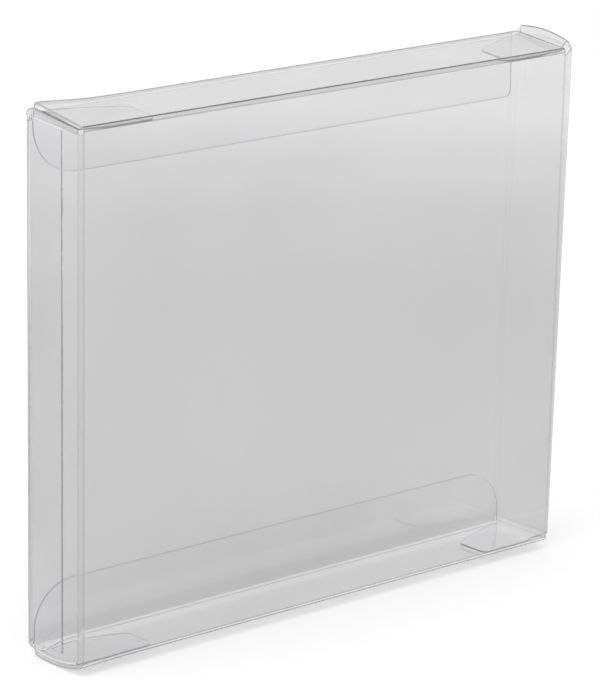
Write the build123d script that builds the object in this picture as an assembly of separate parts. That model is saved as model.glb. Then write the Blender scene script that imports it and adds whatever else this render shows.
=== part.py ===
from build123d import *
import os
from math import cos, degrees, radians, sin

# A clear folding box that keeps a boxed game clean and square on the shelf. It is one die-cut
# sheet of clear film: four wall panels wrapped into a flat tube, closed by a glued seam in the
# left wall, with a hinged lid at the top and another at the bottom. Both lids hinge on the front
# panel and hold shut by a tuck flap that slides down inside the back panel. The front faces -Y,
# and the origin is on the surface that the box stands on, below its middle.
#
# Driving dimensions, in millimetres and degrees.
box_width = 136.0            # outside, left to right
box_depth = 18.0             # outside, front to back
box_height = 115.0           # outside, with both lids pressed flat
film = 0.4                   # thickness of the clear film
crease_inside_radius = 0.6   # inside radius of every crease

glue_flap_width = 11.4       # from the back face of the box to the flap's free edge
glue_flap_end_slope = 0.5    # how much shorter the flap is at its free edge, at each end
side_panel_overlap = 0.6     # how far the left panel's cut edge runs past the start of the crease
back_edge_drop = 0.3         # the back panel's cut edges stop this far short of the lids' faces

lid_side_clearance = 0.5     # from each end of a lid to the outside of the side wall
lid_to_dust_flap = 0.3       # between a lid pressed flat and the dust flaps under it
top_lid_rise = 3.5           # the creases spring back and hold the top lid open by this angle
hinge_running_gap = 0.08     # between a rounded hinge edge and the film that it turns against

tuck_to_back_panel = 0.6     # room that the tuck flap needs to slide out along the back panel
tuck_to_side_wall = 0.4      # from the tuck flap's side edges to the walls beside them
top_tuck_length = 14.0       # from the lid's rear crease to the flap's free edge
bottom_tuck_length = 13.1    # the same, on the bottom lid
tuck_straight_side = 3.0     # straight part of the flap's side edge, above its rounded corner

dust_flap_length = 19.8      # from the outside of the side wall to the flap's free end
dust_flap_end_width = 8.5    # width of the free end
dust_to_front_panel = 0.3    # from the flap's front edge to the front panel
dust_to_tuck_flap = 1.5      # from the flap's rear edge, at its fold, to the tuck flap
dust_taper_bow = 0.5         # how far the tapered rear edge bows out
dust_front_relief = 1.3      # how far the front edge steps back beside the fold
dust_relief_start = 3.5      # the step ends this far from the outside of the side wall
dust_relief_run = 3.5        # length of the slope that leads out of the step
dust_front_corner = 1.7      # radius of the free end's front corner
dust_rear_corner = 1.0       # radius of the free end's rear corner

# Sizes that follow from them.
crease_outside_radius = crease_inside_radius + film
crease_middle_radius = crease_inside_radius + film / 2
half_width = box_width / 2
half_depth = box_depth / 2
front_inside = -half_depth + film
back_inside = half_depth - film

# A lid's crease is split along its middle, halfway round the bend. The moving film ends in a
# rounded edge centred on that line, and the film beside it stops just clear of that edge.
split_angle = 45.0
rounded_edge_radius = film / 2
setback_angle = degrees((rounded_edge_radius + hinge_running_gap) / crease_middle_radius)

# Centres of the lid's two creases, and the two hinge lines, in the YZ plane at the top.
crease_height = box_height - crease_outside_radius
front_crease_y = -half_depth + crease_outside_radius
tuck_outside = back_inside - tuck_to_back_panel
tuck_inside = tuck_outside - film
rear_crease_y = tuck_outside - crease_outside_radius
hinge_reach = crease_middle_radius * cos(radians(split_angle))
hinge_height = crease_height + hinge_reach
front_hinge_y = front_crease_y - hinge_reach
rear_hinge_y = rear_crease_y + hinge_reach
hinge_line = Axis((0, front_hinge_y, hinge_height), (1, 0, 0))

# The dust flaps lie just under a lid that is pressed flat, and the side walls fold into them.
dust_top = box_height - film - lid_to_dust_flap
dust_fold_height = dust_top - crease_outside_radius
dust_fold_x = half_width - crease_outside_radius
dust_front = front_inside + dust_to_front_panel
dust_root_front = dust_front + dust_front_relief
dust_root_rear = tuck_inside - dust_to_tuck_flap

middle_plane = Plane.XY.offset(box_height / 2)


def bend(centre_x, centre_y, start, end):
    """Section of a crease: part of a ring, as thick as the film."""
    outer = CenterArc((centre_x, centre_y), crease_outside_radius, start, end - start)
    inner = CenterArc((centre_x, centre_y), crease_inside_radius, start, end - start)
    return make_face([outer, inner, Line(outer @ 0, inner @ 0), Line(outer @ 1, inner @ 1)])


def strip(x_low, x_high, y_low, y_high):
    """A rectangle given by its edges."""
    middle = ((x_low + x_high) / 2, (y_low + y_high) / 2)
    return Pos(*middle) * Rectangle(x_high - x_low, y_high - y_low)


def along_x(section, x_low, x_high):
    """A section drawn in the YZ plane, drawn out from one X to another."""
    return extrude(Plane.YZ.offset(x_low) * section, amount=x_high - x_low)


def along_y(section, y_low, y_high):
    """A section drawn in the XZ plane, drawn out from one Y to another."""
    return extrude(Plane.XZ.offset(-y_high) * section, amount=y_high - y_low)


def along_z(section, z_low, z_high):
    """A section drawn in the XY plane, drawn out from one Z to another."""
    return extrude(Plane.XY.offset(z_low) * section, amount=z_high - z_low)


def both_ends(shape):
    """The same form at the top of the box and, turned over, at the bottom."""
    return [shape, mirror(shape, about=middle_plane)]


def wrapped_walls():
    """The wall panels and their upright creases, up to where the side walls start to fold."""
    low = box_height - dust_fold_height
    high = dust_fold_height
    flat_x = half_width - crease_outside_radius
    flat_y = half_depth - crease_outside_radius
    seam_x = -half_width + film
    seam_crease_x = seam_x + crease_outside_radius
    front = strip(-flat_x, flat_x, -half_depth, front_inside)
    back = strip(seam_crease_x, flat_x, back_inside, half_depth)
    walls = [
        front,
        bend(-flat_x, -flat_y, 180, 270),
        bend(flat_x, -flat_y, 270, 360),
        strip(half_width - film, half_width, -flat_y, flat_y),
        bend(flat_x, flat_y, 0, 90),
        back,
        bend(seam_crease_x, flat_y, 90, 180),
        strip(-half_width, seam_x, -flat_y, flat_y + side_panel_overlap),
    ]
    solids = [along_z(section, low, high) for section in walls]
    # The front panel runs on to its lid creases, and the back panel to its two cut edges.
    solids.append(along_z(front, box_height - crease_height, crease_height))
    solids.append(along_z(back, back_edge_drop, box_height - back_edge_drop))
    return solids


def glue_flap():
    """The flap folded in from the back panel and glued inside the left wall."""
    low = box_height - dust_fold_height
    high = dust_fold_height
    flat_y = half_depth - crease_outside_radius
    free_edge = half_depth - glue_flap_width
    outline = Polyline(
        (flat_y, low),
        (flat_y, high),
        (free_edge, high - glue_flap_end_slope),
        (free_edge, low + glue_flap_end_slope),
        close=True,
    )
    seam_x = -half_width + film
    return along_x(make_face(outline), seam_x, seam_x + film)


def front_lid_creases():
    """The half of each lid crease that stays with the front panel."""
    section = bend(front_crease_y, crease_height, split_angle + 90 + setback_angle, 180)
    return both_ends(along_x(section, -dust_fold_x, dust_fold_x))


def dust_flap():
    """The top right dust flap with the fold that joins it to the side wall."""
    fold = along_y(bend(dust_fold_x, dust_fold_height, 0, 90), dust_root_front, dust_root_rear)
    end_x = half_width - dust_flap_length
    end_rear = dust_front + dust_flap_end_width
    step_x = half_width - dust_relief_start
    slope_x = step_x - dust_relief_run
    taper_start = (dust_fold_x, dust_root_rear)
    taper_end = (end_x, end_rear)
    outline = [
        SagittaArc(taper_start, taper_end, -dust_taper_bow),
        Line(taper_end, (end_x, dust_front)),
        Line((end_x, dust_front), (slope_x, dust_front)),
        Line((slope_x, dust_front), (step_x, dust_root_front)),
        Line((step_x, dust_root_front), (dust_fold_x, dust_root_front)),
        Line((dust_fold_x, dust_root_front), taper_start),
    ]
    face = make_face(outline)
    free_end = face.vertices().group_by(Axis.X)[0].sort_by(Axis.Y)
    face = fillet(free_end[0], dust_front_corner)
    rear = face.vertices().filter_by_position(Axis.X, end_x - 0.01, end_x + 0.01).sort_by(Axis.Y)[-1]
    face = fillet(rear, dust_rear_corner)
    return fold + along_z(face, dust_top - film, dust_top)


def sleeve():
    """Walls, glue flap, front halves of the lid creases and all four dust flaps: one solid."""
    right_flaps = both_ends(dust_flap())
    left_flaps = [mirror(flap, about=Plane.YZ) for flap in right_flaps]
    pieces = wrapped_walls() + [glue_flap()] + front_lid_creases() + right_flaps + left_flaps
    return pieces[0].fuse(*pieces[1:]).clean()


def lid(rise):
    """The top lid: a flat panel between its two half creases, open by the angle given."""
    hinge_edge = Pos(front_hinge_y, hinge_height) * Circle(rounded_edge_radius)
    front_crease = bend(front_crease_y, crease_height, 90, 90 + split_angle)
    panel = strip(front_crease_y, rear_crease_y, box_height - film, box_height)
    rear_crease = bend(rear_crease_y, crease_height, split_angle + setback_angle, 90)
    section = hinge_edge + front_crease + panel + rear_crease
    end = half_width - lid_side_clearance
    return along_x(section, -end, end).rotate(hinge_line, rise)


def tuck_flap(length, rise):
    """The top tuck flap, upright inside the back panel, with its half of the lid's rear crease."""
    left = -half_width + 2 * film + tuck_to_side_wall
    right = half_width - film - tuck_to_side_wall
    hinge_edge = Pos(rear_hinge_y, hinge_height) * Circle(rounded_edge_radius)
    section = hinge_edge + bend(rear_crease_y, crease_height, 0, split_angle)
    crease = along_x(section, left, right)
    free_edge = hinge_height - length
    corner = length - tuck_straight_side
    outline = strip(left, right, free_edge, crease_height)
    low_corners = outline.vertices().group_by(Axis.Y)[0]
    flap = along_y(fillet(low_corners, corner), tuck_inside, tuck_outside)
    # The lid's rise carries the flap with it, still upright.
    reach = rear_hinge_y - front_hinge_y
    shift = (0, reach * (cos(radians(rise)) - 1), reach * sin(radians(rise)))
    return Pos(*shift) * (crease + flap)


parts = {
    "sleeve": sleeve(),
    "top_lid": lid(top_lid_rise),
    "top_tuck_flap": tuck_flap(top_tuck_length, top_lid_rise),
    "bottom_lid": mirror(lid(0), about=middle_plane),
    "bottom_tuck_flap": mirror(tuck_flap(bottom_tuck_length, 0), about=middle_plane),
}

os.makedirs("parts", exist_ok=True)
for name, shape in parts.items():
    export_step(shape, "parts/" + name + ".step")
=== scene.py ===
from math import cos, radians, sin

import bpy
import numpy as np
from mathutils import Matrix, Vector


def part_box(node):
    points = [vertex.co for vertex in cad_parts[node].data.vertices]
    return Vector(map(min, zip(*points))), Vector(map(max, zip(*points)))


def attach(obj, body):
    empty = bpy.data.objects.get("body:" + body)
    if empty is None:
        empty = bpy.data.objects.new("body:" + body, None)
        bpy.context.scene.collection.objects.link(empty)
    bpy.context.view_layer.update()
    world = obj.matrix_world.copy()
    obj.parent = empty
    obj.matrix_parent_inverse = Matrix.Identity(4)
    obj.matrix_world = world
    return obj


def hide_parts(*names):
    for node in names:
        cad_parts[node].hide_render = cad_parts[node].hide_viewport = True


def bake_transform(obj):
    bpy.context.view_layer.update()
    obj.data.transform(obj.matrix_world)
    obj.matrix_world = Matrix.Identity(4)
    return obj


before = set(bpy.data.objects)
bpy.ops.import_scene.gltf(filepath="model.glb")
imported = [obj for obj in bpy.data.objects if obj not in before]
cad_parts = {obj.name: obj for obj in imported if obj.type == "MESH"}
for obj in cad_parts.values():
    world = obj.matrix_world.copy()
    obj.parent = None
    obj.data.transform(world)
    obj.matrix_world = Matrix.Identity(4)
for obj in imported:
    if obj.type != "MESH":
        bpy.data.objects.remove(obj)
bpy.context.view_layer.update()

# The wrapped walls
# Four panels of one die-cut sheet of clear film, creased and wrapped into a flat tube. The back panel ends
# in a glue flap that is folded in and glued inside the left panel. The front right crease has rolled open,
# so the right wall stands out, most at the top.
mm = 0.001
film = 0.4                    # thickness of the film
crease_radius = 0.8           # of the middle of the film, round a crease
crease_steps = 10
crease_guard = 0.3            # a narrow face beside each crease and edge, where their marks and painted shade end
panel_cell = 4.0              # size of a panel's faces
side_cell = 1.6               # the same on the narrow panels
smooth_angle = radians(35)    # faces that meet at less than this look smooth
weld_distance = 0.004
bond_threshold = 0.9          # a face is glued where the bond at its corners is more than this

wave_height = 0.3             # how far a panel waves in and out
wave_length = 55.0
wave_detail = 1.0
still_border = 12.0           # the broad panels are held at their edges and wave freely this far from them
side_still_border = 5.0       # the same on the right panel, across its width

glue_flap_width = 11.4
glue_flap_end_slope = 0.5
glue_line = 0.02              # thickness of the clear glue
glued_rows = slice(2, -2)     # the glue stops a narrow face short of the flap's ends
seam_overlap = 0.8            # the left panel's cut edge runs this far past the start of the rear crease

lid_crease_drop = 1.0         # the lid creases start this far from the lids' faces
back_edge_drop = 0.3          # the back panel's cut edges stop this far short of the lids' faces
dust_fold_drop = 1.7          # the side panels start to fold this far from the lids' faces

score_shift = 0.8             # at the top the right score line is this much nearer the wall
score_shift_reach = 6.0       # over this length beside it the front and back panels follow it
roll_at_front = 1.9           # the top of the wall has rolled out past the line by this much at the front
roll_at_rear = 1.1
front_roll_power = 0.8        # how soon the roll at the front grows with height
rear_roll_start = 45.0        # the height where the roll at the rear begins
rear_roll_reach = 70.0        # and the height that it takes to be complete

spring_reach = 11.0           # the ends of the side panels have sprung over this length
spring_share = 0.8            # the part of the spring that the side panel takes, before its fold

# How far each side panel's end has sprung past its fold: at the front, in the middle and at the rear.
springs = {
    ("left", "top"): (0.1, 1.2, 2.0),
    ("right", "top"): (1.6, 3.45, 2.6),
    ("left", "bottom"): (0.0, 1.95, 1.1),
    ("right", "bottom"): (0.0, 0.0, 0.0),
}

# How marked the film is by an upright crease, at the edges of the bend and in its middle: partly real
# marks, partly painted shade for the dark line along it. The front right one has rolled open, so its
# score line shows only at the first points of the bend.
front_left_marking_and_shade = (0.50, 0.10)
front_right_marking_and_shade = (0.5, 0.2, 0.0)
rear_marking_and_shade = (0.10, 0.03)

lowest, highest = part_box("sleeve")
half_width = highest.x / mm
half_depth = highest.y / mm
box_height = (lowest.z + highest.z) / mm
flat_x = half_width - film / 2 - crease_radius      # where the flat of the front and back panels ends
flat_y = half_depth - film / 2 - crease_radius      # where the flat of the side panels ends


def spread(start, end, cell=panel_cell):
    """Evenly spaced values from start to end, about one cell apart."""
    return np.linspace(start, end, max(2, round(abs(end - start) / cell) + 1))


def panel(start, end, cell=panel_cell):
    """Values across a flat panel, with a narrow face at each end."""
    guard = crease_guard if end > start else -crease_guard
    return np.concatenate([[start], spread(start + guard, end - guard, cell), [end]])


def arc(centre, start, end):
    """Points round the middle of a crease in its section plane, from one angle to another, in degrees."""
    turn = np.radians(np.linspace(start, end, crease_steps + 1))
    across = centre[0] + crease_radius * np.cos(turn)
    along = centre[1] + crease_radius * np.sin(turn)
    return np.stack([across, along], 1)


def crease_marking_and_shade(edges, middle):
    """Marks and painted shade across a crease, from so much at the bend's edges to so much in its middle.
    """
    part = np.linspace(0, 1, crease_steps + 1)
    return middle + (edges - middle) * (1 - np.sqrt(np.sin(np.pi * part)))


def ease(value):
    """A smooth step from 0 to 1."""
    value = np.clip(value, 0, 1)
    return value * value * (3 - 2 * value)


def spring(side, end, y):
    """How far a side panel's end has sprung at a depth in the box: a smooth curve through three heights."""
    front, middle, rear = springs[side, end]
    part = (y + half_depth) / (2 * half_depth)
    by_front = front * (1 - part) * (1 - 2 * part)
    by_middle = 4 * middle * part * (1 - part)
    return by_front + by_middle + rear * part * (2 * part - 1)


def round_corner(grid):
    """How far round an upright crease each point is: 0 on the front and back, 1 on the side panels."""
    return np.clip((np.abs(grid[..., 0]) - flat_x) / crease_radius, 0, 1)


def spring_ends(grid):
    """Lengthens the side panels towards the folds that have sprung."""
    x, y, z = grid[..., 0], grid[..., 1], grid[..., 2]
    past_fold = np.abs(z - box_height / 2) - box_height / 2 + dust_fold_drop
    share = spring_share * round_corner(grid) * ease(past_fold / spring_reach + 1)
    up = np.where(x < 0, spring("left", "top", y), spring("right", "top", y))
    down = np.where(x < 0, spring("left", "bottom", y), spring("right", "bottom", y))
    grid[..., 2] += share * np.where(z > box_height / 2, up, -down)


def shift_right_score(grid):
    """Moves everything near the right score line towards the wall: most at the top."""
    x, z = grid[..., 0], grid[..., 2]
    beside = ease((x - flat_x + score_shift_reach) / score_shift_reach)
    grid[..., 0] += score_shift * np.clip(z / box_height, 0, 1) * beside


def roll_right_wall(grid):
    """Moves the right wall out past its score line: most at the top, and less at the rear."""
    x, y, z = grid[..., 0], grid[..., 1], grid[..., 2]
    height = np.clip(z / box_height, 0, 1)
    depth = (y + half_depth) / (2 * half_depth)
    front_roll = roll_at_front * height**front_roll_power * (1 - depth)
    rear_roll = roll_at_rear * ease((z - rear_roll_start) / rear_roll_reach) * depth
    roll = np.where(x > 0, (front_roll + rear_roll) * round_corner(grid), 0)
    shift_right_score(grid)
    grid[..., 0] += roll


def film_nodes():
    """A geometry node tree that waves the middle surface of a sheet and gives it the film's thickness."""
    tree = bpy.data.node_groups.new("Film sheet", "GeometryNodeTree")
    tree.interface.new_socket("Geometry", in_out="OUTPUT", socket_type="NodeSocketGeometry")
    tree.interface.new_socket("Geometry", in_out="INPUT", socket_type="NodeSocketGeometry")
    for name in ("Film Thickness", "Wave Height", "Wave Length", "Seed"):
        tree.interface.new_socket(name, in_out="INPUT", socket_type="NodeSocketFloat")
    for name in ("Face Material", "Bonded Material", "Cut Edge Material"):
        tree.interface.new_socket(name, in_out="INPUT", socket_type="NodeSocketMaterial")

    def add(kind, **settings):
        """A new node with its settings."""
        node = tree.nodes.new(kind)
        for key, value in settings.items():
            setattr(node, key, value)
        return node

    def maths(operation, first, second):
        """A calculation on two values, each of them a number or a socket."""
        node = add("ShaderNodeMath", operation=operation)
        for socket, value in zip(node.inputs, (first, second)):
            if isinstance(value, (int, float)):
                socket.default_value = value
            else:
                tree.links.new(value, socket)
        return node.outputs[0]

    def attribute(name, kind):
        """The socket that gives an attribute of the sheet."""
        node = add("GeometryNodeInputNamedAttribute", data_type=kind)
        node.inputs["Name"].default_value = name
        return node.outputs["Attribute"]

    def along_normal(geometry, distance):
        """Moves the sheet along its normals."""
        scale = add("ShaderNodeVectorMath", operation="SCALE")
        tree.links.new(add("GeometryNodeInputNormal").outputs["Normal"], scale.inputs[0])
        tree.links.new(distance, scale.inputs["Scale"])
        move = add("GeometryNodeSetPosition")
        tree.links.new(geometry, move.inputs["Geometry"])
        tree.links.new(scale.outputs[0], move.inputs["Offset"])
        return move.outputs["Geometry"]

    def mark_faces(geometry, name, chosen):
        """Keeps a choice of faces under a name."""
        mark = add("GeometryNodeStoreNamedAttribute", data_type="BOOLEAN", domain="FACE")
        mark.inputs["Name"].default_value = name
        tree.links.new(geometry, mark.inputs["Geometry"])
        tree.links.new(chosen, mark.inputs["Value"])
        return mark.outputs[0]

    def give_material(geometry, name, material):
        """Gives the faces kept under a name their own material."""
        node = add("GeometryNodeSetMaterial")
        tree.links.new(geometry, node.inputs["Geometry"])
        tree.links.new(attribute(name, "BOOLEAN"), node.inputs["Selection"])
        tree.links.new(material, node.inputs["Material"])
        return node.outputs[0]

    # The middle surface waves where it is free to.
    given = add("NodeGroupInput").outputs
    noise = add("ShaderNodeTexNoise", noise_dimensions="4D")
    noise.inputs["Detail"].default_value = wave_detail
    tree.links.new(add("GeometryNodeInputPosition").outputs[0], noise.inputs["Vector"])
    tree.links.new(given["Seed"], noise.inputs["W"])
    tree.links.new(maths("DIVIDE", 1.0, given["Wave Length"]), noise.inputs["Scale"])
    wave = maths("SUBTRACT", noise.outputs[0], 0.5)
    wave = maths("MULTIPLY", wave, given["Wave Height"])
    wave = maths("MULTIPLY", wave, attribute("freedom", "FLOAT"))
    waved = along_normal(given["Geometry"], wave)

    # The inner face lies half a thickness inside it. The outer face and the edges are extruded from that.
    inner = along_normal(waved, maths("MULTIPLY", given["Film Thickness"], -0.5))
    extrude = add("GeometryNodeExtrudeMesh", mode="FACES")
    extrude.inputs["Individual"].default_value = False
    tree.links.new(inner, extrude.inputs["Mesh"])
    tree.links.new(given["Film Thickness"], extrude.inputs["Offset Scale"])
    flip = add("GeometryNodeFlipFaces")
    tree.links.new(inner, flip.inputs["Mesh"])

    # The bond is above zero where the sheet's outer side is glued, and below zero where its inner side is.
    # The free edge of a sheet glued on its outer side stays clear.
    bond = attribute("bond", "FLOAT")
    outer_glued = maths("MULTIPLY", maths("GREATER_THAN", bond, bond_threshold), extrude.outputs["Top"])
    inner_glued = maths("LESS_THAN", bond, -bond_threshold)
    open_edge = maths("MULTIPLY", maths("LESS_THAN", bond, bond_threshold), extrude.outputs["Side"])
    outside = mark_faces(extrude.outputs["Mesh"], "cut_edge", open_edge)
    outside = mark_faces(outside, "bonded", outer_glued)
    inside = mark_faces(flip.outputs[0], "bonded", inner_glued)
    joined = add("GeometryNodeJoinGeometry")
    tree.links.new(inside, joined.inputs[0])
    tree.links.new(outside, joined.inputs[0])
    merge = add("GeometryNodeMergeByDistance")
    merge.inputs["Distance"].default_value = weld_distance * mm
    tree.links.new(joined.outputs[0], merge.inputs["Geometry"])
    realize = add("GeometryNodeRealizeInstances")
    tree.links.new(merge.outputs[0], realize.inputs[0])
    faces = add("GeometryNodeSetMaterial")
    tree.links.new(realize.outputs[0], faces.inputs["Geometry"])
    tree.links.new(given["Face Material"], faces.inputs["Material"])
    finished = give_material(faces.outputs[0], "cut_edge", given["Cut Edge Material"])
    finished = give_material(finished, "bonded", given["Bonded Material"])
    tree.links.new(finished, add("NodeGroupOutput").inputs[0])
    return tree


# The film was rolled and handled, so its tone has faint clouds and its surface a faint ripple. Their sizes
# and the ripple's height are in metres.
cloud_size = 0.035
cloud_depth = 0.04
cloud_detail = 3.0
cloud_contrast = (0.3, 0.7)
ripple_size = 0.006
ripple_detail = 2.0
ripple_strength = 0.15
ripple_height = 0.0001


def film_marking_and_shade():
    """Shader group: how creases, handling, rolling and painted shade change film tone, gloss and surface.
    """
    group = bpy.data.node_groups.new("Film marking and shade", "ShaderNodeTree")
    for name, kind in (
        ("Tone", "NodeSocketColor"),
        ("Marked And Shaded Tone", "NodeSocketColor"),
        ("Gloss Roughness", "NodeSocketFloat"),
        ("Marked Roughness", "NodeSocketFloat"),
        ("Cloud Size", "NodeSocketFloat"),
        ("Cloud Depth", "NodeSocketFloat"),
    ):
        group.interface.new_socket(name, in_out="INPUT", socket_type=kind)
    for name, kind in (
        ("Color", "NodeSocketColor"),
        ("Roughness", "NodeSocketFloat"),
        ("Height", "NodeSocketFloat"),
    ):
        group.interface.new_socket(name, in_out="OUTPUT", socket_type=kind)
    nodes, links = group.nodes, group.links
    given = nodes.new("NodeGroupInput").outputs
    out = nodes.new("NodeGroupOutput").inputs
    place = nodes.new("ShaderNodeTexCoord").outputs["Object"]
    marking_and_shade_input = nodes.new("ShaderNodeAttribute")
    marking_and_shade_input.attribute_name = "marking_and_shade"

    def clouds(size, detail):
        """Soft noise of a size, which is a number or a socket."""
        noise = nodes.new("ShaderNodeTexNoise")
        noise.inputs["Detail"].default_value = detail
        links.new(place, noise.inputs["Vector"])
        scale = nodes.new("ShaderNodeMath")
        scale.operation = "DIVIDE"
        scale.inputs[0].default_value = 1.0
        if isinstance(size, float):
            scale.inputs[1].default_value = size
        else:
            links.new(size, scale.inputs[1])
        links.new(scale.outputs[0], noise.inputs["Scale"])
        return noise.outputs[0]

    shade = nodes.new("ShaderNodeMapRange")
    links.new(clouds(given["Cloud Size"], cloud_detail), shade.inputs["Value"])
    shade.inputs["From Min"].default_value = cloud_contrast[0]
    shade.inputs["From Max"].default_value = cloud_contrast[1]
    darkest = nodes.new("ShaderNodeMath")
    darkest.operation = "SUBTRACT"
    darkest.inputs[0].default_value = 1.0
    links.new(given["Cloud Depth"], darkest.inputs[1])
    links.new(darkest.outputs[0], shade.inputs["To Min"])
    shade.inputs["To Max"].default_value = 1.0
    # The marked tone darkens the film where it is marked: partly real marks, partly painted shade.
    tone = nodes.new("ShaderNodeMix")
    tone.data_type = "RGBA"
    links.new(marking_and_shade_input.outputs["Fac"], tone.inputs["Factor"])
    links.new(given["Tone"], tone.inputs["A"])
    links.new(given["Marked And Shaded Tone"], tone.inputs["B"])
    clouded = nodes.new("ShaderNodeVectorMath")
    clouded.operation = "SCALE"
    links.new(tone.outputs["Result"], clouded.inputs[0])
    links.new(shade.outputs["Result"], clouded.inputs["Scale"])
    links.new(clouded.outputs[0], out["Color"])
    rough = nodes.new("ShaderNodeMix")
    links.new(marking_and_shade_input.outputs["Fac"], rough.inputs["Factor"])
    links.new(given["Gloss Roughness"], rough.inputs["A"])
    links.new(given["Marked Roughness"], rough.inputs["B"])
    links.new(rough.outputs["Result"], out["Roughness"])
    links.new(clouds(ripple_size, ripple_detail), out["Height"])
    return group


film_sheet = film_nodes()
film_group = film_marking_and_shade()

film_ior = 1.57               # of clear PET
glue_ior = 1.0                # a bonded face bends no light, since the glue fills it
blue_tint = 1.005             # the film passes this much more blue


def film_material(name, tone, marked_and_shaded_tone, roughness, marked_roughness, ior=film_ior, clear=1.0):
    """Film. Its tone is the share of light that passes through it, or that a frosted edge throws back."""
    material = bpy.data.materials.new(name)
    material.use_nodes = True
    nodes, links = material.node_tree.nodes, material.node_tree.links
    shader = nodes["Principled BSDF"]
    shader.inputs["Transmission Weight"].default_value = clear
    shader.inputs["IOR"].default_value = ior
    group = nodes.new("ShaderNodeGroup")
    group.node_tree = film_group
    for socket, value in (
        ("Tone", (tone, tone, tone * blue_tint, 1)),
        ("Marked And Shaded Tone", (marked_and_shaded_tone, marked_and_shaded_tone, marked_and_shaded_tone, 1)),
        ("Gloss Roughness", roughness),
        ("Marked Roughness", marked_roughness),
        ("Cloud Size", cloud_size),
        ("Cloud Depth", cloud_depth),
    ):
        group.inputs[socket].default_value = value
    links.new(group.outputs["Color"], shader.inputs["Base Color"])
    links.new(group.outputs["Roughness"], shader.inputs["Roughness"])
    bump = nodes.new("ShaderNodeBump")
    bump.inputs["Strength"].default_value = ripple_strength
    bump.inputs["Distance"].default_value = ripple_height
    links.new(group.outputs["Height"], bump.inputs["Height"])
    links.new(bump.outputs["Normal"], shader.inputs["Normal"])
    return material


wall_film = film_material("wall_film", tone=0.925, marked_and_shaded_tone=0.60, roughness=0.02, marked_roughness=0.30)
# The flaps are cut from the walls' sheet, but their film is lighter: painted light for the light they
# catch.
flap_film = film_material("flap_film", tone=0.985, marked_and_shaded_tone=0.62, roughness=0.02, marked_roughness=0.30)
bonded_film = film_material(
    "bonded_film", tone=1.0, marked_and_shaded_tone=1.0, roughness=0.0, marked_roughness=0.0, ior=glue_ior
)
# The die has frosted the cut edges, so that little light passes straight through them.
cut_edge = film_material(
    "cut_edge_film", tone=0.98, marked_and_shaded_tone=0.98, roughness=0.1, marked_roughness=0.1, clear=0.15
)


def make_film(name, grid, marking_and_shade, material, seed, freedom=0, bond=0, cells=None):
    """A closed sheet of film, as thick as the real one, round a middle surface: a grid of points in mm.

    The marks and painted shade, the freedom to wave and the bond are given per point, or one number for
    all.
    """
    columns, rows = grid.shape[:2]
    number = np.arange(columns * rows).reshape(columns, rows)
    faces = [
        (number[i, j], number[i + 1, j], number[i + 1, j + 1], number[i, j + 1])
        for i in range(columns - 1)
        for j in range(rows - 1)
        if cells is None or cells[i, j]
    ]
    used = sorted({v for face in faces for v in face})
    renumbered = {v: k for k, v in enumerate(used)}
    mesh = bpy.data.meshes.new(name)
    points = (grid.reshape(-1, 3)[used] * mm).tolist()
    mesh.from_pydata(points, [], [tuple(renumbered[v] for v in face) for face in faces])
    for attribute, values in (("marking_and_shade", marking_and_shade), ("freedom", freedom), ("bond", bond)):
        layer = mesh.attributes.new(attribute, "FLOAT", "POINT")
        values = np.broadcast_to(values, (columns, rows)).reshape(-1)[used]
        layer.data.foreach_set("value", values.astype(np.float32))
    middle = bpy.data.objects.new(name, mesh)
    bpy.context.scene.collection.objects.link(middle)
    modifier = middle.modifiers.new("film", "NODES")
    modifier.node_group = film_sheet
    inputs = {
        "Film Thickness": film * mm,
        "Wave Height": wave_height * mm,
        "Wave Length": wave_length * mm,
        "Seed": float(seed),
        "Face Material": material,
        "Bonded Material": bonded_film,
        "Cut Edge Material": cut_edge,
    }
    for socket in film_sheet.interface.items_tree:
        if socket.in_out == "INPUT" and socket.name in inputs:
            modifier[socket.identifier] = inputs[socket.name]
    graph = bpy.context.evaluated_depsgraph_get()
    finished = bpy.data.meshes.new_from_object(
        middle.evaluated_get(graph), preserve_all_data_layers=True, depsgraph=graph
    )
    middle.modifiers.clear()
    middle.data = finished
    finished.name = name
    finished.shade_smooth()
    finished.set_sharp_from_angle(angle=smooth_angle)
    return middle


def wall_runs():
    """The panels and creases round the box in plan, each with its points and its marks and painted shade.
    """
    seam_x = -half_width + 1.5 * film + glue_line
    free_edge = half_depth - glue_flap_width
    behind_glue_flap = spread(flat_y, free_edge, side_cell)
    rest_of_left = panel(free_edge, -flat_y, side_cell)[1:]
    left = np.concatenate([[flat_y + seam_overlap], behind_glue_flap, rest_of_left])
    first_points = range(len(front_right_marking_and_shade))
    right_marking_and_shade = np.interp(np.arange(crease_steps + 1), first_points, front_right_marking_and_shade)
    return [
        ("left", [(-half_width + film / 2, y) for y in left], 0),
        ("front_left", arc((-flat_x, -flat_y), 180, 270), crease_marking_and_shade(*front_left_marking_and_shade)),
        ("front", [(x, -half_depth + film / 2) for x in panel(-flat_x, flat_x)], 0),
        ("front_right", arc((flat_x, -flat_y), 270, 360), right_marking_and_shade),
        ("right", [(half_width - film / 2, y) for y in panel(-flat_y, flat_y, side_cell)], 0),
        ("rear_right", arc((flat_x, flat_y), 0, 90), crease_marking_and_shade(*rear_marking_and_shade)),
        ("back", [(x, half_depth - film / 2) for x in panel(flat_x, seam_x + crease_radius)], 0),
        ("seam", arc((seam_x + crease_radius, flat_y), 90, 180), crease_marking_and_shade(*rear_marking_and_shade)),
        ("glue_flap", [(seam_x, y) for y in panel(flat_y, free_edge, side_cell)], 0),
    ]


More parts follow.
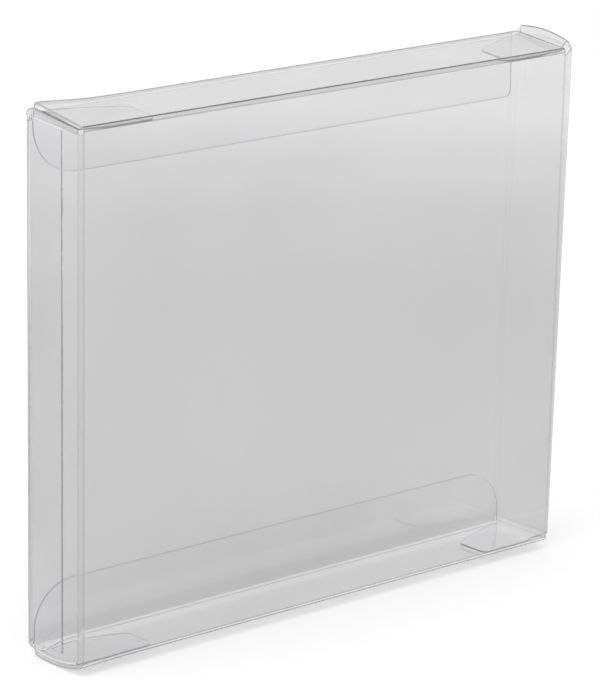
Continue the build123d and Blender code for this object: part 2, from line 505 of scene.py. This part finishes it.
def wrapped_walls():
    """The front, right, back and left panels with their upright creases and the glue flap."""
    runs = wall_runs()
    path = np.array([runs[0][1][0]] + [point for _, points, _ in runs for point in points[1:]])
    columns = np.array([name for name, points, _ in runs for _ in points[1:]])
    low, high = dust_fold_drop, box_height - dust_fold_drop
    heights = np.concatenate([[low], panel(low, high), [high]])
    grid = np.zeros((len(path), len(heights), 3))
    grid[:, :, :2] = path[:, None, :]
    grid[:, :, 2] = heights
    marking_and_shade = np.zeros(grid.shape[:2])
    first = 0
    for _, points, profile in runs:
        last = first + len(points)
        marking_and_shade[first:last] = np.maximum(marking_and_shade[first:last], np.broadcast_to(profile, last - first)[:, None])
        first = last - 1

    def on(name):
        """The points that belong to a panel or crease."""
        belongs = np.zeros(len(path), bool)
        belongs[:-1] |= columns == name
        belongs[1:] |= columns == name
        return belongs

    # The front panel runs on to the lid creases and the back panel to its cut edges.
    cells = np.ones((len(path) - 1, len(heights) - 1), bool)
    cells[:, 0] = cells[:, -1] = np.isin(columns, ("front", "back"))
    for name, drop in (("front", lid_crease_drop), ("back", back_edge_drop)):
        grid[on(name), 0, 2] = drop
        grid[on(name), -1, 2] = box_height - drop

    # The glue flap's ends slope, and its outer side is glued to the inner side of the left panel.
    glued = on("glue_flap")
    reach = (flat_y - path[glued, 1]) / (flat_y - half_depth + glue_flap_width)
    shorter = 1 - reach * glue_flap_end_slope / (box_height / 2)
    grid[glued, :, 2] = box_height / 2 + (grid[glued, :, 2] - box_height / 2) * shorter[:, None]
    bond = np.zeros(grid.shape[:2])
    bond[glued, glued_rows] = 1
    bond[on("left") & (path[:, 1] >= half_depth - glue_flap_width), glued_rows] = -1

    # The panels are free to wave away from their creases and ends. The left one is held by the seam.
    from_end = np.minimum(grid[:, :, 2], box_height - grid[:, :, 2])
    broad = (on("front") | on("back"))[:, None]
    freedom = ease((flat_x - np.abs(grid[:, :, 0])) / still_border) * ease(from_end / still_border) * broad
    across_side = ease((flat_y - np.abs(grid[:, :, 1])) / side_still_border)
    freedom += across_side * ease(from_end / still_border) * on("right")[:, None]
    spring_ends(grid)
    roll_right_wall(grid)
    return make_film(
        "wrapped_walls", grid, marking_and_shade, wall_film, seed=1, freedom=freedom, bond=bond, cells=cells
    )


walls = wrapped_walls()
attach(walls, "sleeve")
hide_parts("sleeve")


# The dust flaps
# Four flaps folded in from the ends of the side panels, two under each lid. They are die-cut from the same
# sheet, with a tapered rear edge, a stepped front edge and rounded corners. Three of the folds have sprung.
dust_flap_length = 19.8
sprung_flap_length = 17.6     # the top right flap's sprung fold takes up the rest
dust_flap_end_width = 8.5
dust_root_front = -7.0
dust_root_rear = 6.1
dust_fold_front = -7.8        # the fold is a little wider than the flap's root
dust_fold_rear = 9.0
dust_front = -8.3
dust_taper_bow = 0.5
dust_step_end = 3.5           # the step beside the fold ends this far from the side wall's face
dust_step_slope = 3.5
dust_front_corner = 1.7
dust_rear_corner = 1.0
dust_rows = 14
dust_cell = 2.0
dust_end_reach = 2.0          # the rounded corners have finer faces over this length
dust_end_angles = (15, 90, 6)                   # from, to and how many, in degrees of a quarter turn
fold_steps = 16
fold_narrowing = 2.2          # a tight fold narrows to the root by this power of what is left of the bend
arch_narrowing = 1.5          # and an arched one, later, by this power of the part of it that is past

crest_height = 1.1            # of the top right fold, as a share of its spring
crest_power = 1.5             # how soon the crest comes down to the flap
arch_height = 0.3             # of the top left flap's rounded fold, as a share of its spring
arch_width = 0.25             # how much wider than a tight fold it is, as a share of its spring
settle_reach = 6.0            # a flap whose fold has sprung comes back to its level over this length

# The folds are darkened along their bends, partly by marks, partly by painted shade; the top left one in a
# broad band.
haze_and_shade_of_folds = 0.1               # marks and painted shade on the plain folds, at their inner edge
top_left_fold_marking_and_shade = (0.05, 0.35)              # at the bend's edges, and how much more in its middle

lid_rise = {"top": 3.5, "bottom": 0.0}          # degrees by which the sprung creases hold the lids open
rear_lift = 0.6               # the top lid's rear edge is bowed up by this much more than that


def settled(distance, reach=settle_reach):
    """The share of its spring that a flap or lid keeps at a distance from the fold."""
    return np.exp(-((distance / reach) ** 2))


def under_top_lid(y):
    """How much higher the open top lid is than when pressed flat."""
    behind = np.clip(y + flat_y, 0, None)
    return behind * sin(radians(lid_rise["top"])) + rear_lift * behind / (2 * flat_y)


def dust_outline(x, free_end):
    """The front and rear edge of the flap at a distance from the middle of the box."""
    step = half_width - dust_step_end
    front = np.interp(x, [step - dust_step_slope, step], [dust_front, dust_root_front])
    share = (flat_x - x) / (flat_x - free_end)
    rear = dust_root_rear + (dust_front + dust_flap_end_width - dust_root_rear) * share
    rear = rear + dust_taper_bow * 4 * share * (1 - share)
    inside = np.clip((dust_front_corner - (x - free_end)) / dust_front_corner, 0, 1)
    front = front + dust_front_corner * (1 - np.sqrt(1 - inside**2))
    inside = np.clip((dust_rear_corner - (x - free_end)) / dust_rear_corner, 0, 1)
    rear = rear - dust_rear_corner * (1 - np.sqrt(1 - inside**2))
    return front, rear


def dust_flap(side, end, fold_marking_and_shade, seed):
    """One dust flap with the fold that joins it to its side panel."""
    crested = (side, end) == ("right", "top")
    arched = (side, end) == ("left", "top")
    free_end = half_width - (sprung_flap_length if crested else dust_flap_length)
    rounded = free_end + dust_end_reach * (1 - np.sin(np.radians(np.linspace(*dust_end_angles))))
    flat = np.concatenate([spread(flat_x - crease_guard, free_end + dust_end_reach, dust_cell), rounded])
    turn = np.radians(np.linspace(0, 90, fold_steps + 1))
    across = np.linspace(0, 1, dust_rows)
    grid = np.zeros((len(turn) + len(flat), dust_rows, 3))
    marking_and_shade = np.zeros(grid.shape[:2])
    marking_and_shade[: len(turn)] = fold_marking_and_shade[:, None]

    def raised(y, distance):
        """How far the flat of the flap is from its place under a lid pressed flat."""
        if end == "top":
            return under_top_lid(y)
        return spring(side, end, y) * settled(distance)

    for i, angle in enumerate(turn):
        part = i / fold_steps
        wider = 1 - part**arch_narrowing if arched else (1 - part) ** fold_narrowing
        front = dust_root_front + (dust_fold_front - dust_root_front) * wider
        rear = dust_root_rear + (dust_fold_rear - dust_root_rear) * wider
        y = front + (rear - front) * across
        lifted = spring_share * cos(angle) ** 2
        if crested:
            lifted = abs(cos(angle)) ** crest_power * (spring_share + crest_height * sin(angle))
        grid[i, :, 0] = flat_x + crease_radius * cos(angle)
        if arched:
            lifted += arch_height * sin(2 * angle)
            grid[i, :, 0] -= arch_width * (1 - cos(angle)) * spring(side, end, y)
        grid[i, :, 1] = y
        grid[i, :, 2] = crease_radius * sin(angle) + lifted * spring(side, end, y)
        grid[i, :, 2] += sin(angle) ** 2 * raised(y, 0)
    for i, x in enumerate(flat, len(turn)):
        front, rear = dust_outline(x, free_end)
        y = front + (rear - front) * across
        grid[i, :, 0] = x
        if arched:
            grid[i, :, 0] -= arch_width * settled(flat_x - x) * spring(side, end, y)
        grid[i, :, 1] = y
        grid[i, :, 2] = crease_radius + raised(y, flat_x - x)
    grid[:, :, 2] += box_height - dust_fold_drop
    if end == "bottom":
        grid[:, :, 2] = box_height - grid[:, :, 2]
    if side == "left":
        grid[:, :, 0] *= -1
    roll_right_wall(grid)
    flap = make_film(end + "_" + side + "_dust_flap", grid, marking_and_shade, flap_film, seed)
    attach(flap, "sleeve")


fold = np.linspace(0, 1, fold_steps + 1)
edge_marking_and_shade, middle_marking_and_shade = top_left_fold_marking_and_shade
dust_flap("right", "top", haze_and_shade_of_folds * fold, seed=2)
dust_flap("left", "top", middle_marking_and_shade * np.sin(np.pi * fold) + edge_marking_and_shade, seed=3)
dust_flap("right", "bottom", haze_and_shade_of_folds * fold, seed=4)
dust_flap("left", "bottom", haze_and_shade_of_folds * fold, seed=5)


# The lids
# Each lid is a panel of the same sheet, hinged on the front panel by a rounded crease. The top one stands a
# little open, because its creases spring back, and the bottom one is pressed flat.
lid_side_clearance = 0.5
lid_left_shift = 0.6          # the top lid's left end is this much nearer the middle than the bottom lid's
lid_still_border = 10.0       # the lids lie still at their ends and wave freely this far from them
tuck_room = 0.6               # the gap between a tuck flap and the back panel
corner_lift = 0.9             # the top lid's rear left corner is bowed up by this much more again
corner_reach = 10.0

lid_end = half_width - lid_side_clearance
lid_left = {"top": -lid_end + lid_left_shift, "bottom": -lid_end}
lid_right = {"top": lid_end + score_shift, "bottom": lid_end}
tuck_plane = half_depth - 1.5 * film - tuck_room      # middle of the tuck flap
# The lids' creases and left ends are darkened partly by marks, partly by painted shade, much darker on the
# top lid.
front_crease_marking_and_shade = {"top": crease_marking_and_shade(edges=0.7, middle=0.35), "bottom": crease_marking_and_shade(edges=0.12, middle=0.05)}
rear_crease_marking_and_shade = {"top": crease_marking_and_shade(edges=0.6, middle=0.45), "bottom": crease_marking_and_shade(edges=0.15, middle=0.08)}
end_marking_and_shade = {"top": 0.45, "bottom": 0.05}


def lid_profile(rise):
    """The middle of a lid from the side: its front crease, its panel and the centre of its rear crease."""
    centre = (-flat_y, box_height - film / 2 - crease_radius)
    front = arc(centre, 180, 90 + rise)
    start = front[-1]
    way = np.array([cos(radians(rise)), sin(radians(rise))])
    reach = tuck_plane - crease_radius * (1 - cos(radians(90 + rise)))
    length = (reach - start[0]) / way[0]
    flat = start + np.outer(panel(0, length, side_cell)[1:], way)
    normal = np.array([-way[1], way[0]])
    return front, flat, flat[-1] - crease_radius * normal


def bow_top_lid(grid, share):
    """Raises the top lid's rear edge, and its rear left corner, which the dust flap under it pushes up."""
    grid[..., 2] += share * (rear_lift + corner_lift * settled(grid[..., 0] + lid_end, corner_reach))


def lid(which, seed):
    """The lid's panel and front crease."""
    front, flat, _ = lid_profile(lid_rise[which])
    section = np.concatenate([front, flat])
    along = panel(lid_left[which], lid_right[which])
    part = (along - along[0]) / (along[-1] - along[0])
    past_crease = np.interp(np.arange(len(section)), [0, len(front) - 1], [0, 1])
    left = -flat_x + (lid_left[which] + flat_x) * past_crease
    right = (flat_x + lid_right[which] - lid_end) * (1 - past_crease) + lid_right[which] * past_crease
    grid = np.zeros((len(section), len(along), 3))
    grid[:, :, 0] = left[:, None] + (right - left)[:, None] * part
    grid[:, :, 1:] = section[:, None, :]
    marking_and_shade = np.zeros(grid.shape[:2])
    marking_and_shade[: len(front)] = front_crease_marking_and_shade[which][:, None]
    marking_and_shade[-1] = rear_crease_marking_and_shade[which][0]
    marking_and_shade[:, 0] = np.maximum(marking_and_shade[:, 0], end_marking_and_shade[which])
    middle = np.sin(np.pi * np.clip((grid[:, :, 1] + flat_y) / (2 * flat_y), 0, 1))
    freedom = middle * ease((lid_end - np.abs(grid[:, :, 0])) / lid_still_border)
    if which == "top":
        bow_top_lid(grid, np.clip((grid[:, :, 1] + flat_y) / (flat[-1][0] + flat_y), 0, 1))
    else:
        bow = spring("left", "bottom", grid[:, :, 1]) * settled(grid[:, :, 0] + lid_end)
        grid[:, :, 2] = box_height - grid[:, :, 2] - bow
    return make_film(which + "_lid_film", grid, marking_and_shade, wall_film, seed, freedom)


for which, seed in (("top", 6), ("bottom", 7)):
    piece = lid(which, seed)
    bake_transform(piece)
    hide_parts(which + "_lid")


# The tuck flaps
# Each lid ends in a flap that slides in along the inner side of the back panel and holds the box shut. It
# is die-cut from the same sheet, and its free corners are rounded, so that it finds its way in.
tuck_length = {"top": 14.0, "bottom": 13.1}
tuck_corners = {"top": (11.0, 1.5), "bottom": (10.1, 10.1)}      # radius of the left and right corner
tuck_corner_points = 10
tuck_cell = 0.06              # size of a tuck flap's faces, as a share of its length
# The tuck flaps' free edges are darkened partly by marks, partly by painted shade, most on the top one.
tuck_edge_marking_and_shade = {"top": 0.7, "bottom": 0.1}
tuck_side_clearance = 0.4
tuck_left = -half_width + 2 * film + tuck_side_clearance
tuck_right = half_width - film - tuck_side_clearance
middle_of_crease = radians(45)

# The bottom tuck flap has a painted shade in a band above its crease, which fades in and out.
band_shade = 0.15
band_start = 0.6
band_fade_in = 0.6
band_end = 4.4
band_fade_out = 1.4


def tuck_flap(which, seed):
    """The tuck flap with the lid's rear crease, and where that crease starts and ends."""
    rise = lid_rise[which]
    _, flat, centre = lid_profile(rise)
    bend = arc(centre, 90 + rise, 0)
    hinge_z = centre[1] + crease_radius * sin(middle_of_crease)
    free_edge = hinge_z - tuck_length[which]
    left, right = tuck_corners[which]
    turn = 1 - np.cos(np.radians(np.linspace(0, 90, tuck_corner_points)))
    along = np.concatenate([
        tuck_left + left * turn,
        spread(tuck_left + left, tuck_right - right)[1:-1],
        tuck_right - right * turn[::-1],
    ])
    low = np.full(len(along), free_edge)
    for corner, from_side in ((left, along - tuck_left), (right, tuck_right - along)):
        inside = np.clip((corner - from_side) / corner, 0, 1)
        low += corner * (1 - np.sqrt(1 - inside**2))
    guard = crease_guard / tuck_length[which]
    parts = np.concatenate([spread(guard, 1 - guard, tuck_cell), [1]])
    grid = np.zeros((len(bend) + len(parts), len(along), 3))
    marking_and_shade = np.zeros(grid.shape[:2])
    marking_and_shade[: len(bend)] = rear_crease_marking_and_shade[which][:, None]
    marking_and_shade[-1] = tuck_edge_marking_and_shade[which]
    from_left = (along - tuck_left) / (tuck_right - tuck_left)
    lid_along = lid_left[which] + (lid_right[which] - lid_left[which]) * from_left
    for i, (y, z) in enumerate(bend):
        part = i / (len(bend) - 1)
        grid[i, :, 0] = (1 - part) * lid_along + part * along
        grid[i, :, 1] = y
        grid[i, :, 2] = z
    for i, part in enumerate(parts, len(bend)):
        grid[i, :, 0] = along
        grid[i, :, 1] = bend[-1][0]
        grid[i, :, 2] = bend[-1][1] + (low - bend[-1][1]) * part
    share = np.concatenate([np.ones(len(bend)), 1 - parts])[:, None]
    if which == "top":
        bow_top_lid(grid, share)
    else:
        bow = spring("left", "bottom", flat[-1][0]) * settled(grid[:, :, 0] + lid_end)
        grid[:, :, 2] = box_height - grid[:, :, 2] - share * bow
        height = grid[:, :, 2]
        # A painted shade in the band above the crease.
        fading_in = ease((height - band_start) / band_fade_in)
        fading_out = ease((band_end - height) / band_fade_out)
        marking_and_shade = np.maximum(marking_and_shade, band_shade * fading_in * fading_out)
    return make_film(which + "_tuck_film", grid, marking_and_shade, flap_film, seed), flat[-1], bend[-1]


for which, seed in (("top", 8), ("bottom", 9)):
    piece, start, end = tuck_flap(which, seed)
    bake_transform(piece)
    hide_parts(which + "_tuck_flap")


# The studio
# A pale matt floor, white to the camera, with soft even light from all round and one large soft lamp above.
# Seen through the film and mirrored in it, the floor glows with a painted shade near the box, which gives
# the clear film its tone.
floor_radius = 4.0
floor_drop = 2.0              # the sprung fold at the bottom left reaches this far below the other folds
floor_paint = (0.8, 0.8, 0.8, 1)
white = (1, 1, 1, 1)

# How brightly the floor glows to the camera, and how brightly it is seen through the film and mirrored in
# it, at shares of its shade's reach from the box. Seen through the film, the glow is a painted light right
# under the box and a painted shade round it; mirrored, a painted shade near the box.
floor_glow = 0.54
floor_shade_reach = 0.6
seen_through = (
    (0.0, 0.53), (0.012, 0.27), (0.09, 0.20), (0.13, 0.19), (0.35, 0.18),
    (0.5, 0.21), (0.62, 0.275), (0.8, 0.42), (1.0, 0.48),
)
seen_mirrored = ((0.0, 0.40), (0.3, 0.40), (0.76, 0.50))

# How bright the white surroundings are, as light on the box, mirrored in it, seen through it, and directly.
world_light = 0.5
world_mirrored = 0.75
world_through = 0.85
world_seen = 1.0

lamp_size = (1.2, 0.9)
lamp_power = 5.0
lamp_place = (-0.5, -0.2, 1.5)
lamp_tilt = radians(-17)


def mix_value(tree, factor, first, second):
    """A value between two others, each of them a number or a socket."""
    mix = tree.nodes.new("ShaderNodeMix")
    tree.links.new(factor, mix.inputs["Factor"])
    for socket, value in (("A", first), ("B", second)):
        if isinstance(value, float):
            mix.inputs[socket].default_value = value
        else:
            tree.links.new(value, mix.inputs[socket])
    return mix.outputs["Result"]


def curve_value(tree, value, points):
    """A value that eases from point to point, as another goes from 0 to 1."""
    ramp = tree.nodes.new("ShaderNodeValToRGB")
    tree.links.new(value, ramp.inputs[0])
    ramp.color_ramp.interpolation = "EASE"
    elements = ramp.color_ramp.elements
    elements[0].position, elements[1].position = points[0][0], points[-1][0]
    elements[0].color = (points[0][1],) * 3 + (1,)
    elements[1].color = (points[-1][1],) * 3 + (1,)
    for position, height in points[1:-1]:
        elements.new(position).color = (height, height, height, 1)
    return ramp.outputs["Color"]


floor_mesh = bpy.data.meshes.new("floor")
signs = ((-1, -1), (1, -1), (1, 1), (-1, 1))
floor_mesh.from_pydata([(x * floor_radius, y * floor_radius, 0) for x, y in signs], [], [(0, 1, 2, 3)])
floor = bpy.data.objects.new("floor", floor_mesh)
floor.location.z = -floor_drop * mm
bpy.context.scene.collection.objects.link(floor)

floor_material = bpy.data.materials.new("pale_floor")
floor_material.use_nodes = True
tree = floor_material.node_tree
paint = tree.nodes["Principled BSDF"]
paint.inputs["Base Color"].default_value = floor_paint
paint.inputs["Roughness"].default_value = 1.0
paint.inputs["Specular IOR Level"].default_value = 0.0

# The distance from the box's outline on the floor, as a share of the shade's reach.
place = tree.nodes.new("ShaderNodeTexCoord").outputs["Object"]
for operation, other in (
    ("ABSOLUTE", None),
    ("SUBTRACT", (half_width * mm, half_depth * mm, 0)),
    ("MAXIMUM", (0, 0, 0)),
    ("LENGTH", None),
):
    step = tree.nodes.new("ShaderNodeVectorMath")
    step.operation = operation
    tree.links.new(place, step.inputs[0])
    if other:
        step.inputs[1].default_value = other
    place = step.outputs["Value" if operation == "LENGTH" else "Vector"]
share = tree.nodes.new("ShaderNodeMath")
share.operation = "DIVIDE"
tree.links.new(place, share.inputs[0])
share.inputs[1].default_value = floor_shade_reach

rays = tree.nodes.new("ShaderNodeLightPath").outputs
# Painted light under the box and painted shade round it, seen only through the film and mirrored in it.
through = curve_value(tree, share.outputs[0], seen_through)
mirrored = curve_value(tree, share.outputs[0], seen_mirrored)
glow = mix_value(tree, rays["Is Glossy Ray"], 0.0, mirrored)
glow = mix_value(tree, rays["Is Transmission Ray"], glow, through)
glow = mix_value(tree, rays["Is Camera Ray"], glow, floor_glow)
paint.inputs["Emission Color"].default_value = white
tree.links.new(glow, paint.inputs["Emission Strength"])
floor_mesh.materials.append(floor_material)

world = bpy.data.worlds.new("studio")
bpy.context.scene.world = world
world.use_nodes = True
tree = world.node_tree
rays = tree.nodes.new("ShaderNodeLightPath").outputs
level = mix_value(tree, rays["Is Glossy Ray"], world_light, world_mirrored)
level = mix_value(tree, rays["Is Transmission Ray"], level, world_through)
level = mix_value(tree, rays["Is Camera Ray"], level, world_seen)
background = tree.nodes["Background"]
background.inputs["Color"].default_value = white
tree.links.new(level, background.inputs["Strength"])

lamp = bpy.data.lights.new("soft_box", "AREA")
lamp.shape = "RECTANGLE"
lamp.size, lamp.size_y = lamp_size
lamp.energy = lamp_power
lamp_object = bpy.data.objects.new("soft_box", lamp)
lamp_object.matrix_world = Matrix.Translation(lamp_place) @ Matrix.Rotation(lamp_tilt, 4, "Y")
bpy.context.scene.collection.objects.link(lamp_object)


# The camera
# It stands to the left of the box and a little above it, with a long lens, and looks at the middle of the
# front. Light may pass through many layers of film on its way to it.
picture_height = 697          # pixels, the longer side
focal_pixels = 3819           # the lens's focal length, in pixels of the picture
camera_yaw = radians(41.11)
camera_pitch = radians(15.80)
camera_roll = radians(0.96)
camera_eye = (-0.524206, -0.599476, 0.280863)
film_bounces = 32
mirror_bounces = 8

level_right = np.array([cos(camera_yaw), -sin(camera_yaw), 0])
level_back = np.array([-sin(camera_yaw), -cos(camera_yaw), 0])
back = level_back * cos(camera_pitch) + np.array([0, 0, sin(camera_pitch)])
level_up = np.cross(back, level_right)
right = cos(camera_roll) * level_right + sin(camera_roll) * level_up
up = -sin(camera_roll) * level_right + cos(camera_roll) * level_up
lens = bpy.data.cameras.new("camera")
lens.sensor_width = 36.0
lens.lens = focal_pixels * lens.sensor_width / picture_height
camera = bpy.data.objects.new("camera", lens)
camera.matrix_world = Matrix([
    (right[0], up[0], back[0], camera_eye[0]),
    (right[1], up[1], back[1], camera_eye[1]),
    (right[2], up[2], back[2], camera_eye[2]),
    (0, 0, 0, 1),
])
bpy.context.scene.collection.objects.link(camera)
bpy.context.scene.camera = camera
bpy.context.scene.view_settings.view_transform = "Standard"
bpy.context.scene.cycles.max_bounces = film_bounces
bpy.context.scene.cycles.transmission_bounces = film_bounces
bpy.context.scene.cycles.glossy_bounces = mirror_bounces
